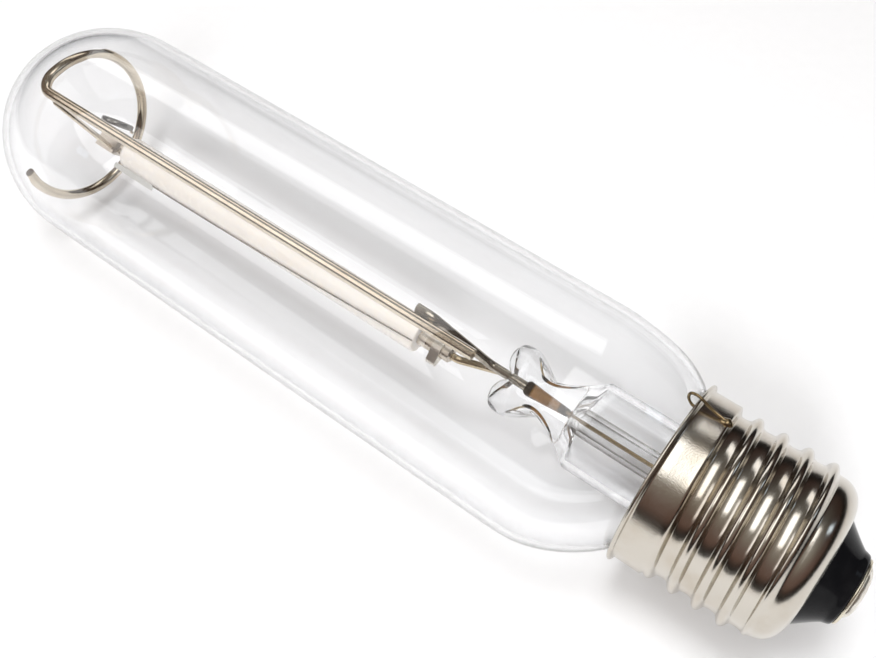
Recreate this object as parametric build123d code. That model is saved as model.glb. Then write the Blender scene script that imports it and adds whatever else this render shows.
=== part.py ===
"""Tubular high-pressure sodium lamp with an Edison screw cap, lying on its glass tube.

Each piece is modelled in the lamp's own frame: X runs along the tube from the dome to
the cap, with the cap's rim at X = 0, Y is sideways and Z points to the front of the
mount. At the end every piece is rolled about X and laid on the ground.
"""
import math
import os

from build123d import *

# Cap shell
shell_sheet = 0.3
rim_lip = 0.75               # how far the rim stands out from the skirt
rim_edge = 0.25              # length of the rim at its full radius
rim_flare = 0.9
skirt_rise = 1.15            # how far the skirt stands out from the root of the thread
skirt_length = 4.6
skirt_step = 0.5             # length of the step from the skirt to the thread
thread_root = 12.1
thread_depth = 1.1
thread_pitch = 3.629
thread_turns = 4.5
thread_start = 4.0
ridge_base = 2.7
ridge_top = 0.9

# Glass bulb
bulb_radius = 18.5
bulb_wall = 1.0
bulb_length = 124.5          # from the cap's rim to the top of the dome
shoulder_start = 16.0        # the shoulder starts this far in front of the rim
shoulder_end = 1.2           # and ends this far inside the cap
shoulder_turn = 65.0         # part of a quarter ellipse that the shoulder follows, degrees
neck_clearance = 0.9         # between the neck and the inside of the cap shell
neck_depth = 7.0
neck_shift = 1.2             # cap, neck and stem sit this far to the side of the tube's axis
shift_start = 0.2            # share of the shoulder that stays on the tube's axis
dome_steps = 5
shoulder_steps = 4

# Stem
stem_radius = 6.95
stem_wall = 1.1
stem_front = 11.8            # front corner of the stem tube, ahead of the rim
stem_floor = 1.2             # glass that closes the front of the stem tube
flare_start = 0.5
flare_steps = 2
flare_curve = 2.2            # above 1 the flare opens faster towards its brim
brim_thickness = 0.9
press_back = 17.0            # where the press has its full flat form, ahead of the rim
press_thickness = 5.8
press_width = 11.4
press_radius = 6.3           # radius of the squeezed tube at the front of the press
lobe_radius = 2.6
lobe_spread = 2.9
lobe_front = 23.6            # axis of the lobes, ahead of the rim
exhaust_radius = 2.1
exhaust_wall = 0.7
exhaust_end = 13.0
tip_length = 1.5             # glass that seals the end of the exhaust tube
port_front = 12.6            # front of the exhaust opening, ahead of the rim

# Leads
lead_spread = 3.5            # each lead's distance from the stem's axis
frame_lead_radius = 0.68
short_lead_radius = 0.6
lead_straight = 1.2          # straight run of both leads in front of the lobes
pin_front = 20.5             # the sealing pins run from here
pin_back = 14.5              # to here, both ahead of the rim
pin_radius = 0.66
side_lead_radius = 0.22
centre_lead_radius = 0.3
centre_lead_turn = 5.0       # length in which the centre lead crosses to the axis
side_lead_angle = 43.0       # place of the side lead round the cap, from Y to Z
side_lead_slack = 1.4        # how far the side lead stands off behind the stem's brim
side_lead_jog = 1.6          # length in which it moves out to the skirt
side_lead_stand = 0.45       # how far it stands out past the rim

# Frame wire and loop
wire_radius = 0.85
wire_side = 0.95
wire_inset = 6.4             # from the outside of the glass to the middle of the frame wire
wire_cut = 27.9              # cut end of the frame wire, ahead of the rim
loop_inset = 5.54            # from the outside of the glass to the middle of the loop wire
loop_gap = 11.4              # from the top of the dome back to the loop
loop_side = -1.1
loop_lean_side = 3.7         # lean of the loop's plane, degrees
loop_lean_front = 2.9
loop_start = 78.0            # where the loop starts, degrees from Y to Z
loop_sweep = 284.0
loop_bend = 1.5              # the corner into the loop is cut off by this much
loop_steps = 12
lead_overlap = 10.5          # length of frame lead welded to the frame wire
weld_start = 8.0             # the weld starts this far past the cut end

# Arc tube
arc_side = -0.75
arc_radius = 2.7
arc_bore = 1.85
arc_gap = 22.5               # from the top of the dome back to the arc tube
arc_back = 40.0
plug_length = 3.0
niobium_radius = 1.25
niobium_reach = 3.6          # how far a feed-through goes into the arc tube
far_round = 1.6              # length of the far feed-through that is round outside the arc tube
far_taper = 1.6              # length that goes from round to flat
far_blade = 4.0              # length of the flat end
pinch_width = 3.8
pinch_thickness = 0.7
near_reach = 5.8             # how far the near feed-through stands out of the arc tube
near_chamfer = 0.3
electrode_radius = 0.4
electrode_length = 5.0

# Straps, ignition strip and getter
strap_thickness = 0.3
strap_width = 2.8
strap_side = -0.2
strap_step = 2.0             # from the tip of the blade back to the strap
strap_tail = 3.6             # length that runs along under the frame wire
strap_foot = 1.8             # length that lies on the blade
band_thickness = 0.25
band_width = 1.6
band_step = 3.2              # from the near tip to the front of the band
band_tab = 1.5               # how far the band's pinched ends stand out from the feed-through
band_tab_radius = 0.6
lead_reach = 4.2             # how far the short lead goes into the near feed-through
lead_run = 1.0               # the short lead is straight from this far behind the near tip
strip_overhang = 1.6         # how far the strip stands out past the arc tube
strip_length = 9.0
strip_height = 0.9
strip_thickness = 0.25
ignition_wire_radius = 0.2
ignition_turn = 55.0         # how far the wire winds round the arc tube, degrees
ignition_steps = 4
getter_radius = 2.5
getter_section = 0.8
getter_height = 1.0
getter_step = 1.5            # how far the getter sits ahead of the loop
getter_side = 2.4
getter_inset = 4.76          # from the loop in to the middle of the getter
getter_wire_radius = 0.25

# Cap end, insulator and solder
shell_end = 23.7
shell_turn_in = 3.95         # from the root of the thread in to the hole for the insulator
shell_corner = 3.4
corner_steps = 3
insulator_waist_radius = 4.7
insulator_waist = 26.9
insulator_hollow = 1.25      # above 1 the insulator's side is hollow
insulator_steps = 2
insulator_lip_radius = 5.08
insulator_lip_start = 27.6
insulator_end = 28.0
insulator_depth = 4.2        # how far the insulator reaches into the shell
insulator_hole = 1.1
contact_radius = 4.85
contact_thickness = 0.5
solder_radius = 4.0
solder_height = 1.1
solder_flat = 1.2
solder_steps = 3
side_solder_length = 2.2
side_solder_radius = 1.05
side_solder_back = 0.2       # its middle lies this far in front of the skirt's end
side_solder_sink = 0.25      # the blob's axis lies this far below the skirt's surface
cement_front = 1.6
cement_back = 4.3
cement_slot = 0.7            # slot in the cement that lets the side lead through

# Placing
mount_roll = 27.0            # the mount's front is turned this far from straight up
touch = 0.02                 # gap between pieces that touch
weld_gap = 0.1               # gap at the square ends of the getter's wire
overrun = 1.0                # how far a cutting shape reaches past what it cuts

thread_crest = thread_root + thread_depth
skirt_radius = thread_root + skirt_rise
rim_radius = skirt_radius + rim_lip
neck_radius = thread_root - shell_sheet - neck_clearance
wire_height = bulb_radius - wire_inset
loop_radius = bulb_radius - loop_inset
loop_front = bulb_length - loop_gap
arc_front = bulb_length - arc_gap
near_tip = arc_back - near_reach
band_front = near_tip + band_step
far_round_end = arc_front + far_round
far_pinch_start = far_round_end + far_taper
far_tip = far_pinch_start + far_blade
strap_front = far_tip - strap_step
strip_front = arc_front + strip_overhang
strip_back = strip_front - strip_length
getter_front = loop_front + getter_step
getter_depth = getter_inset - loop_radius
shell_hole = thread_root - shell_turn_in
contact_front = insulator_end + touch
solder_front = contact_front + contact_thickness + touch
lamp_end = solder_front + solder_height


def spin(points, side=0.0):
    """Solid turned about the line along X at the given Y, from (x, radius) points."""
    profile = make_face(Polyline(*points, close=True))
    return revolve(profile, Axis.X).moved(Location((0, side, 0)))


def disc_plane(x, side=0.0, height=0.0):
    """Plane across the lamp at x, with its own X along Y."""
    return Plane(origin=(x, side, height), x_dir=(0, 1, 0), z_dir=(1, 0, 0))


def rod(x_from, x_to, radius, side=0.0, height=0.0):
    """Round rod along X."""
    return extrude(disc_plane(x_from, side, height) * Circle(radius), x_to - x_from)


def wire_along(points, radius):
    """Round wire through points, mitred at its corners."""
    path = Polyline(*points)
    section = Plane(origin=path @ 0, z_dir=path % 0) * Circle(radius)
    return sweep(section, path=path, transition=Transition.RIGHT)


def shoulder_sections(inset):
    """Circles that carry the bulb from its tube through the shoulder into the neck."""
    sections = []
    turn_end = math.radians(shoulder_turn)
    drop = bulb_radius - neck_radius
    reach = shoulder_start + shoulder_end
    for step in range(shoulder_steps + 1):
        turn = turn_end * step / shoulder_steps
        along = math.sin(turn) / math.sin(turn_end)
        radius = bulb_radius - drop * (1 - math.cos(turn)) / (1 - math.cos(turn_end))
        ease = max(0.0, (along - shift_start) / (1 - shift_start))
        side = neck_shift * ease * ease * (3 - 2 * ease)
        sections.append(disc_plane(along * reach - shoulder_start, side) * Circle(radius - inset))
    return sections


def bulb_solid(inset, tail):
    """Bulb outline moved in by inset, with its neck carried on by tail."""
    radius = bulb_radius - inset
    centre = -bulb_length + bulb_radius
    outline = [(-shoulder_start, 0), (centre - radius, 0)]
    for step in range(1, dome_steps + 1):
        turn = math.radians(90 * step / dome_steps)
        outline.append((centre - radius * math.cos(turn), radius * math.sin(turn)))
    outline.append((-shoulder_start, radius))
    shoulder = loft(shoulder_sections(inset), ruled=True)
    neck = rod(shoulder_end, neck_depth + tail, neck_radius - inset, neck_shift)
    return spin(outline) + shoulder + neck


def outer_bulb():
    return bulb_solid(0.0, 0.0) - bulb_solid(bulb_wall, overrun)


def lead_hole(sign):
    """The straight hole for one lead and its sealing pin in the glass of the stem."""
    radius = max(frame_lead_radius, pin_radius) + touch
    return rod(-lobe_front - lobe_radius - overrun, 0, radius, neck_shift, sign * lead_spread)


def flare_points(inset, back):
    """The stem's flare as (x, radius) points, moved in by inset, from the tube to the brim at back."""
    points = []
    spread = neck_radius - bulb_wall - stem_radius
    for step in range(flare_steps + 1):
        share = step / flare_steps
        x = flare_start + share * (back - flare_start)
        points.append((x, stem_radius - inset + spread * share**flare_curve))
    return points


def stem_glass():
    brim_front = neck_depth + touch
    brim_back = brim_front + brim_thickness
    bore = stem_radius - stem_wall
    floor = -stem_front + stem_floor
    outside = [(-stem_front, 0), (-stem_front, stem_radius)] + flare_points(0, brim_front)
    brim = [(brim_front, neck_radius), (brim_back, neck_radius)]
    inside = flare_points(stem_wall, brim_back)[::-1] + [(floor, bore), (floor, 0)]
    stem = spin(outside + brim + inside, neck_shift)
    # The press is the closed end of the tube, squeezed flat between two sloping jaws
    half = press_thickness / 2
    jaws = Polyline(
        (-stem_front, stem_radius),
        (-press_back, half),
        (-lobe_front, half),
        (-lobe_front, -half),
        (-press_back, -half),
        (-stem_front, -stem_radius),
        close=True,
    )
    gap = extrude(make_face(jaws), 2 * stem_radius, both=True)
    ends = [(-lobe_front, 0), (-lobe_front, press_radius), (-stem_front, stem_radius), (-stem_front, 0)]
    press = (spin(ends) & gap).moved(Location((0, neck_shift, 0)))
    stem += press
    for sign in (-1, 1):
        lobe = Cylinder(lobe_radius, press_width)
        stem += lobe.moved(Location((-lobe_front, neck_shift + sign * lobe_spread, 0)))
    for sign in (-1, 1):
        stem -= lead_hole(sign)
    return stem - rod(-port_front, floor, exhaust_radius - exhaust_wall, neck_shift)


def exhaust_tube():
    floor = -stem_front + stem_floor + touch
    bore = exhaust_radius - exhaust_wall
    return spin(
        [
            (floor, bore),
            (floor, exhaust_radius),
            (exhaust_end, exhaust_radius),
            (exhaust_end, 0),
            (exhaust_end - tip_length, 0),
            (exhaust_end - tip_length, bore),
        ],
        neck_shift,
    )


def seal_pin(sign):
    return rod(-pin_front, -pin_back, pin_radius, neck_shift, sign * lead_spread)


def loop_plane():
    """Plane of the loop, a little tilted from square to the lamp."""
    lean_side = math.tan(math.radians(loop_lean_side))
    lean_front = math.tan(math.radians(loop_lean_front))
    middle = (-loop_front, loop_side, 0)
    return Plane(origin=middle, x_dir=(-lean_side, 1, 0), z_dir=(1, lean_side, lean_front))


def loop_point(angle, out=0.0):
    """Point of the loop at an angle from Y to Z, moved out along the loop's tangent."""
    turn = math.radians(angle)
    across = loop_radius * math.cos(turn) - out * math.sin(turn)
    up = loop_radius * math.sin(turn) + out * math.cos(turn)
    return loop_plane().from_local_coords(Vector(across, up, 0))


def frame_wire():
    bend_x = loop_point(loop_start, loop_bend).X + loop_bend
    route = [Vector(-wire_cut, wire_side, wire_height), Vector(bend_x, *wire_centre(bend_x))]
    for step in range(loop_steps + 1):
        route.append(loop_point(loop_start - loop_sweep * step / loop_steps))
    return wire_along(route, wire_radius)


def wire_centre(x):
    """Side and height of the frame wire's centre at x."""
    corner = loop_point(loop_start, loop_bend)
    share = (x + wire_cut) / (corner.X + wire_cut)
    side = wire_side + share * (corner.Y - wire_side)
    height = wire_height + share * (corner.Z - wire_height)
    return side, height


def frame_lead():
    end_x = -wire_cut - lead_overlap
    gap = wire_radius + frame_lead_radius + touch
    near_side, near_height = wire_centre(-wire_cut - weld_start)
    end_side, end_height = wire_centre(end_x)
    route = [
        (-pin_front - touch, neck_shift, lead_spread),
        (-lobe_front - lobe_radius - lead_straight, neck_shift, lead_spread),
        (-wire_cut - weld_start, near_side + gap, near_height),
        (end_x, end_side + gap, end_height),
    ]
    return wire_along(route, frame_lead_radius)


def short_lead():
    """Lead that slants across to the arc tube's axis and ends inside the near feed-through."""
    route = [
        (-pin_front - touch, neck_shift, -lead_spread),
        (-lobe_front - lobe_radius - lead_straight, neck_shift, -lead_spread),
        (-near_tip + lead_run, arc_side, 0),
        (-near_tip - lead_reach, arc_side, 0),
    ]
    return wire_along(route, short_lead_radius)


def cap_point(x, radius):
    """Point on the side lead's half plane, at x and at a radius from the cap's axis."""
    turn = math.radians(side_lead_angle)
    return (x, neck_shift + radius * math.cos(turn), radius * math.sin(turn))


def side_lead_route():
    """The lead's way out of the stem, behind the brim, up past the neck and over the rim."""
    behind_brim = neck_depth + brim_thickness + side_lead_slack
    past_neck = (neck_radius + thread_root - shell_sheet) / 2
    inside = skirt_radius - shell_sheet - side_lead_radius - touch
    outside = skirt_radius + side_lead_radius + touch
    over_rim = rim_radius + 1.4 * side_lead_radius
    return [
        (-pin_back + touch, neck_shift, lead_spread),
        (behind_brim - side_lead_slack / 2, neck_shift, lead_spread),
        cap_point(behind_brim, past_neck),
        cap_point(skirt_length, past_neck),
        cap_point(skirt_length - side_lead_jog, inside),
        cap_point(rim_edge, inside),
        cap_point(-side_lead_stand, over_rim),
        cap_point(rim_edge, over_rim),
        cap_point(rim_flare + 3 * side_lead_radius, outside),
        cap_point(skirt_length, outside),
    ]


def side_lead():
    return wire_along(side_lead_route(), side_lead_radius)


def centre_lead():
    route = [
        (-pin_back + touch, neck_shift, -lead_spread),
        (exhaust_end, neck_shift, -lead_spread),
        (exhaust_end + centre_lead_turn, neck_shift, 0),
        (contact_front + contact_thickness, neck_shift, 0),
    ]
    return wire_along(route, centre_lead_radius)


def arc_tube():
    """Ceramic tube whose plugs are fired in one with it, bored for the feed-throughs."""
    bore = niobium_radius + touch
    return spin(
        [
            (-arc_front, bore),
            (-arc_front, arc_radius),
            (-arc_back, arc_radius),
            (-arc_back, bore),
            (-arc_back - plug_length, bore),
            (-arc_back - plug_length, arc_bore),
            (-arc_front + plug_length, arc_bore),
            (-arc_front + plug_length, bore),
        ],
        arc_side,
    )


def far_niobium_tube():
    """Feed-through whose far end is crimped to a flat blade."""
    body = rod(-far_round_end, -arc_front + niobium_reach, niobium_radius, arc_side)
    jaws = Polyline(
        (-far_round_end, niobium_radius),
        (-far_pinch_start, pinch_thickness / 2),
        (-far_tip, pinch_thickness / 2),
        (-far_tip, -pinch_thickness / 2),
        (-far_pinch_start, -pinch_thickness / 2),
        (-far_round_end, -niobium_radius),
        close=True,
    )
    widths = Polyline(
        (-far_round_end, niobium_radius),
        (-far_pinch_start, pinch_width / 2),
        (-far_tip, pinch_width / 2),
        (-far_tip, -pinch_width / 2),
        (-far_pinch_start, -pinch_width / 2),
        (-far_round_end, -niobium_radius),
        close=True,
    )
    blade = extrude(make_face(widths), pinch_width, both=True)
    blade &= extrude(make_face(Plane.XZ * jaws), pinch_width, both=True)
    return body + blade.moved(Location((0, arc_side, 0)))


def near_niobium_tube():
    tube = rod(-arc_back - niobium_reach, -near_tip, niobium_radius, arc_side)
    tube = chamfer(tube.edges().sort_by(Axis.X)[-1], near_chamfer)
    bore = short_lead_radius + touch
    return tube - rod(-near_tip - lead_reach - touch, -near_tip + overrun, bore, arc_side)


def electrode(root, sign):
    """Rod that stands on a feed-through at root and points by sign."""
    tip = root + sign * electrode_length
    return rod(min(root, tip), max(root, tip), electrode_radius, arc_side)


def far_strap():
    """Strip that runs along under the frame wire, turns down and ends flat on the blade."""
    height = wire_centre(-strap_front)[1]
    top = height - wire_radius - strap_thickness / 2 - touch
    foot = (pinch_thickness + strap_thickness) / 2 + touch
    route = Polyline(
        (-strap_front - strap_tail, top),
        (-strap_front, top),
        (-strap_front, foot),
        (-strap_front + strap_foot, foot),
    )
    strip = extrude(Plane.XZ * trace(route, strap_thickness), strap_width / 2, both=True)
    return strip.moved(Location((0, strap_side, 0)))


def near_strap():
    """Band round the near feed-through, its ends pinched together into a tab."""
    hole = niobium_radius + touch
    tab_side = arc_side - niobium_radius - band_tab + band_tab_radius
    outline = make_hull(
        [
            *(Pos(arc_side, 0) * Circle(hole + band_thickness)).edges(),
            *(Pos(tab_side, 0) * Circle(band_tab_radius)).edges(),
        ]
    )
    band = outline - Pos(arc_side, 0) * Circle(hole)
    return extrude(disc_plane(-band_front) * band, band_width)


def ignition_strip():
    side = arc_side - arc_radius - touch
    strip = Box(strip_front - strip_back, strip_height, strip_thickness)
    return strip.moved(Location((-(strip_front + strip_back) / 2, side - strip_height / 2, 0)))


def ignition_wire():
    """Wire from the strip along the arc tube, winding slowly round towards the front."""
    step_turn = math.radians(ignition_turn / ignition_steps)
    reach = (arc_radius + ignition_wire_radius + touch) / math.cos(step_turn / 2)
    start = -strip_back + touch
    route = []
    for step in range(ignition_steps + 1):
        turn = math.pi - step_turn * step
        x = start + (-arc_back - start) * step / ignition_steps
        route.append((x, arc_side + reach * math.cos(turn), reach * math.sin(turn)))
    return wire_along(route, ignition_wire_radius)


def getter_ring():
    outer = Cylinder(getter_radius + getter_section / 2, getter_height)
    ring = outer - Cylinder(getter_radius - getter_section / 2, getter_height)
    return ring.rotate(Axis.X, 90).moved(Location((-getter_front, getter_side, getter_depth)))


def getter_wire():
    """Short wire from the getter ring straight to the nearest part of the loop."""
    # The loop's straight runs come in a little from its circle
    flat = loop_radius * math.cos(math.radians(loop_sweep / loop_steps / 2))
    across = getter_side - loop_side
    foot = loop_plane().from_local_coords(Vector(across, -math.sqrt(flat**2 - across**2), 0))
    centre = Vector(-getter_front, foot.Y, getter_depth)
    way = (foot - centre).normalized()
    start = centre + way * (getter_radius + getter_section / 2 + weld_gap)
    end = foot - way * (wire_radius + weld_gap)
    return wire_along([start, end], getter_wire_radius)


def thread_ridge():
    buried = thread_root - shell_sheet / 2
    profile = Polyline(
        (buried, -ridge_base / 2),
        (thread_root, -ridge_base / 2),
        (thread_crest, -ridge_top / 2),
        (thread_crest, ridge_top / 2),
        (thread_root, ridge_base / 2),
        (buried, ridge_base / 2),
        close=True,
    )
    path = Helix(thread_pitch, thread_pitch * thread_turns, thread_root)
    ridge = sweep(make_face(Plane.XZ * profile), path=path, is_frenet=True)
    return Location(disc_plane(thread_start, neck_shift)) * ridge


def shell_corner_points(inset):
    """Rounded bottom of the shell as (x, radius) points, moved in by inset."""
    points = []
    corner_x = shell_end - shell_corner
    root = thread_root - inset
    for step in range(corner_steps + 1):
        turn = math.radians(90 * step / corner_steps)
        x = corner_x + (shell_corner - inset) * math.sin(turn)
        points.append((x, shell_hole + (root - shell_hole) * math.cos(turn)))
    return points


def shell_solid(inset, reach):
    """The cap's outline without its thread, moved in by inset and carried past both ends by reach."""
    rim = [(-reach, 0), (-reach, rim_radius - inset), (rim_edge, rim_radius - inset)]
    skirt = skirt_radius - inset
    body = [(rim_flare, skirt), (skirt_length, skirt), (skirt_length + skirt_step, thread_root - inset)]
    bottom = shell_corner_points(inset)
    if reach:
        bottom.append((shell_end + reach, shell_hole))
    return spin(rim + body + bottom + [(shell_end + reach, 0)], neck_shift)


def cap_shell():
    return shell_solid(0, 0) + thread_ridge() - shell_solid(shell_sheet, overrun)


def cap_insulator():
    inner_end = shell_end - insulator_depth
    hole = shell_hole - touch
    corner = shell_corner_points(shell_sheet + touch)
    points = [(inner_end, insulator_hole), (inner_end, corner[0][1]), corner[0]]
    points += [(corner[-1][0], hole), (shell_end, hole)]
    for step in range(1, insulator_steps + 1):
        share = step / insulator_steps
        radius = insulator_waist_radius + (hole - insulator_waist_radius) * (1 - share) ** insulator_hollow
        points.append((shell_end + share * (insulator_waist - shell_end), radius))
    points += [
        (insulator_lip_start, insulator_lip_radius),
        (insulator_end, insulator_lip_radius),
        (insulator_end, insulator_hole),
    ]
    return spin(points, neck_shift)


def centre_contact():
    hole = centre_lead_radius + touch
    back = contact_front
    front = contact_front + contact_thickness
    return spin([(back, hole), (back, contact_radius), (front, contact_radius), (front, hole)], neck_shift)


def contact_solder():
    points = [(solder_front, 0)]
    for step in range(solder_steps + 1):
        turn = math.radians(90 * step / solder_steps)
        radius = solder_flat + (solder_radius - solder_flat) * math.cos(turn)
        points.append((solder_front + solder_height * math.sin(turn), radius))
    points.append((lamp_end, 0))
    return spin(points, neck_shift)


def side_solder():
    half = side_solder_length / 2
    blob = spin([(-half, 0), (0, side_solder_radius), (half, 0)])
    middle = cap_point(skirt_length - side_solder_back, skirt_radius - side_solder_sink)
    blob = blob.moved(Location(middle)) - rod(0, shell_end, skirt_radius + touch, neck_shift)
    return blob - wire_along(side_lead_route()[-2:], side_lead_radius + touch)


def cap_cement():
    ring = rod(cement_front, cement_back, skirt_radius - shell_sheet - touch, neck_shift)
    ring -= rod(cement_front - overrun, cement_back + overrun, neck_radius + touch, neck_shift)
    slot = Box(2 * (cement_back - cement_front), 2 * skirt_radius, cement_slot)
    slot = slot.moved(Location((cement_back, skirt_radius + neck_radius / 2, 0)))
    slot = slot.rotate(Axis.X, side_lead_angle).moved(Location((0, neck_shift, 0)))
    return ring - slot


pieces = {
    "outer_bulb": outer_bulb(),
    "stem_glass": stem_glass(),
    "exhaust_tube": exhaust_tube(),
    "frame_wire": frame_wire(),
    "frame_lead": frame_lead(),
    "short_lead": short_lead(),
    "frame_seal_pin": seal_pin(1),
    "short_seal_pin": seal_pin(-1),
    "side_lead": side_lead(),
    "centre_lead": centre_lead(),
    "arc_tube": arc_tube(),
    "far_niobium_tube": far_niobium_tube(),
    "near_niobium_tube": near_niobium_tube(),
    "far_electrode": electrode(-arc_front + niobium_reach + touch, 1),
    "near_electrode": electrode(-arc_back - niobium_reach - touch, -1),
    "far_strap": far_strap(),
    "near_strap": near_strap(),
    "ignition_strip": ignition_strip(),
    "ignition_wire": ignition_wire(),
    "getter_ring": getter_ring(),
    "getter_wire": getter_wire(),
    "cap_shell": cap_shell(),
    "cap_insulator": cap_insulator(),
    "centre_contact": centre_contact(),
    "contact_solder": contact_solder(),
    "side_solder": side_solder(),
    "cap_cement": cap_cement(),
}

# Roll the lamp to its lying pose, centre it along X and set it on the ground
lying = Location(((bulb_length - lamp_end) / 2, 0, bulb_radius)) * Location((0, 0, 0), (mount_roll, 0, 0))

os.makedirs("parts", exist_ok=True)
for name, piece in pieces.items():
    export_step(piece.moved(lying), f"parts/{name}.step")
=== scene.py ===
"""Looks for the tubular sodium lamp: smooth glass, bright wires, rolled cap and their finishes.

New pieces are modelled in the lamp's own frame and in millimetres, as in the part's source:
X runs from the dome to the cap, with the cap's rim at X = 0, Y is sideways and Z points to the
front of the mount. lay_down then rolls a piece about X and sets it on the ground, in metres.
"""
import math

import bpy
from mathutils import Matrix, Vector


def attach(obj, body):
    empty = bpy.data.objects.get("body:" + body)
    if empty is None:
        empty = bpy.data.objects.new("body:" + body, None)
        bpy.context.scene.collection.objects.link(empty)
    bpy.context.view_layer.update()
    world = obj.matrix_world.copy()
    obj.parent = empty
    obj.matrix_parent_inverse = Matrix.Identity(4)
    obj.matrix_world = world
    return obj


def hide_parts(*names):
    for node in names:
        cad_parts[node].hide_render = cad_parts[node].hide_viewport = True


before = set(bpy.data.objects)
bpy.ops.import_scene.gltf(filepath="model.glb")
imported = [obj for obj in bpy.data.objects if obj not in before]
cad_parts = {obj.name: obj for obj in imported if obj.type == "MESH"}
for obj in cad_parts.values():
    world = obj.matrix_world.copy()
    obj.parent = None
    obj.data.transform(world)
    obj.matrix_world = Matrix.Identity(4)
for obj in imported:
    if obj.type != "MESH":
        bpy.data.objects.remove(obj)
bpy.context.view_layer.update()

MM = 0.001
touch = 0.02                 # gap left between pieces that touch
merge_gap = 0.002            # points closer than this become one
near = 0.01                  # slack when points are picked by their place
sharp_angle = 40.0           # edges that turn more than this stay sharp, degrees

# Placing
mount_roll = 27.0
lying_x = 47.43
lying_z = 18.5

# Glass bulb
bulb_radius = 18.44
bulb_wall = 1.0
bulb_length = 124.5
bulb_rows = (-90, -70, -50, -30, -22)
dome_radius = 18.5
shoulder_start = 16.0
shoulder_end = 1.2
shoulder_turn = 65.0
neck_radius = 10.9
neck_depth = 7.0
neck_shift = 1.2             # the cap sits this far to the side of the bulb's axis
shift_start = 0.2

# Stem
stem_radius = 6.95
stem_wall = 1.1
stem_front = 11.8
stem_rows = (-11, -8, -4)
flare_start = 0.5
flare_curve = 2.2
brim_front = 7.02
brim_back = 7.92
press_back = 18.5
press_half = 2.8
press_side = 6.3
press_curve = 1.6
round_section = 2.0          # squareness of a round section, higher is nearer to a box
press_squareness = 6.0
lobe_squareness = 2.6
lobe_radius = 2.6
lobe_spread = 2.9
lobe_front = 23.6
lobe_side = 4.9
lobe_edge_curve = 2.5
inner_rows = (-3, -6)
inner_back = 9.5
inner_front = 13.5
inner_cap = 0.7
exhaust_radius = 2.1
exhaust_bore = 1.4
exhaust_front = 13.2
exhaust_end = 13.0
exhaust_taper = 3.0          # length that is drawn in towards the closed tip
exhaust_tip = 1.0
exhaust_tip_radius = 1.26
exhaust_tip_wall = 1.2

# Leads and pins
lead_spread = 3.5
lead_bend = -27.5            # both inner leads run straight out of the press as far as this
lead_bend_ease = 1.5
lead_end_ease = 0.85
frame_lead_radius = 0.68
frame_lead_ease = 0.2
frame_weld_back = -35.9
frame_weld_front = -38.4
short_lead_radius = 0.6
short_lead_ease = 0.15
short_mouth = -33.2          # the short lead goes into the near niobium tube here
short_mouth_ease = 0.9
short_lead_end = -38.4
pin_front = 20.5
pin_back = 14.5
pin_front_radius = 0.92
pin_back_radius = 0.55
pin_bead = [(-0.75, 0), (-0.7, 0.5), (-0.5, 0.85), (-0.1, 1.06), (0.35, 1.02)]
pin_bead_length = 0.7
pin_tip = 0.4
pin_tip_radius = 0.3
side_lead_radius = 0.22
side_lead_angle = 43.0
side_lead_channel = 11.35    # how far from the axis the side lead runs inside the shell
centre_lead_radius = 0.3

# Frame wire
wire_radius = 0.85
wire_start = Vector((-27.9, 0.95, 12.1))
wire_middle = -70.0
corner_shift = Vector((1.0, 0.28, 0.0))
corner_ease = 2.6            # the bend starts this far before the corner
corner_tip = 0.3
loop_radius = 12.96
loop_middle = Vector((-113.1, -1.1, 0.0))
loop_lean_side = 3.7
loop_lean_front = 2.9
loop_start = 78.0
loop_lead = 3.0              # the round part of the loop starts this far on, degrees
loop_sweep = 285.5
loop_bend = 1.5

# Getter
getter_middle = Vector((-114.6, 2.4, -8.2))
getter_turn = 0.14
getter_tip = 0.18
getter_radius = 2.5
getter_section = 0.8
getter_height = 1.0
getter_edge = 0.16
channel_lip = 0.24
channel_lip_drop = 0.1
channel_depth = 0.3

# Arc tube
arc_side = -0.75
arc_radius = 2.7
arc_bore = 1.85
arc_front = 102.0
arc_back = 40.0
arc_rows = (-80, -60)
arc_bore_row = -70
arc_edge = 0.25
arc_edge_round = 0.3
arc_sharp_angle = 50.0
plug_length = 3.0
feed_bore = 1.27
ignition_radius = 0.12
ignition_gap = 0.03
ignition_front = 94.58
ignition_start = 174.0
ignition_end = 116.0

# Far strap
strap_top = Vector((-111.0, -0.35, 11.8))
strap_foot = Vector((-105.9, -1.8, 0.6))
strap_thickness = 0.6
strap_width = 1.8
strap_rounding = 0.2

# Cap shell, with the rolled rim as places along X and depths under the rim's radius
sheet = 0.3
rim_radius = 14.0
rim_mouth = 0.3
rim_roll = [(0.03, 0.38), (0.05, 0.2), (0.16, 0.05), (0.32, 0), (0.48, 0.06), (0.6, 0.25), (0.68, 0.5)]
rim_foot = 0.8
rim_foot_flare = 0.05
skirt_radius = 13.25
skirt_length = 4.6
skirt_rows = (1.0, 2.2, 3.4, 4.3)
thread_root = 12.1
thread_depth = 1.1
thread_pitch = 3.629
thread_start = 4.0
thread_end = 18.7
thread_fade = 1.9
thread_gap = 0.1
thread_rise = 0.7            # the skirt passes into the thread over this length
thread_rows = 170
bead_half = 0.25
bead_foot = 0.13
bead_curve = 2.2
shell_end = 23.7
shell_hole = 8.15
shell_corner = 3.4
shell_inner_drop = 1.2
shell_inner_radius = 10.7
shell_inner_step = 0.6

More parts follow.
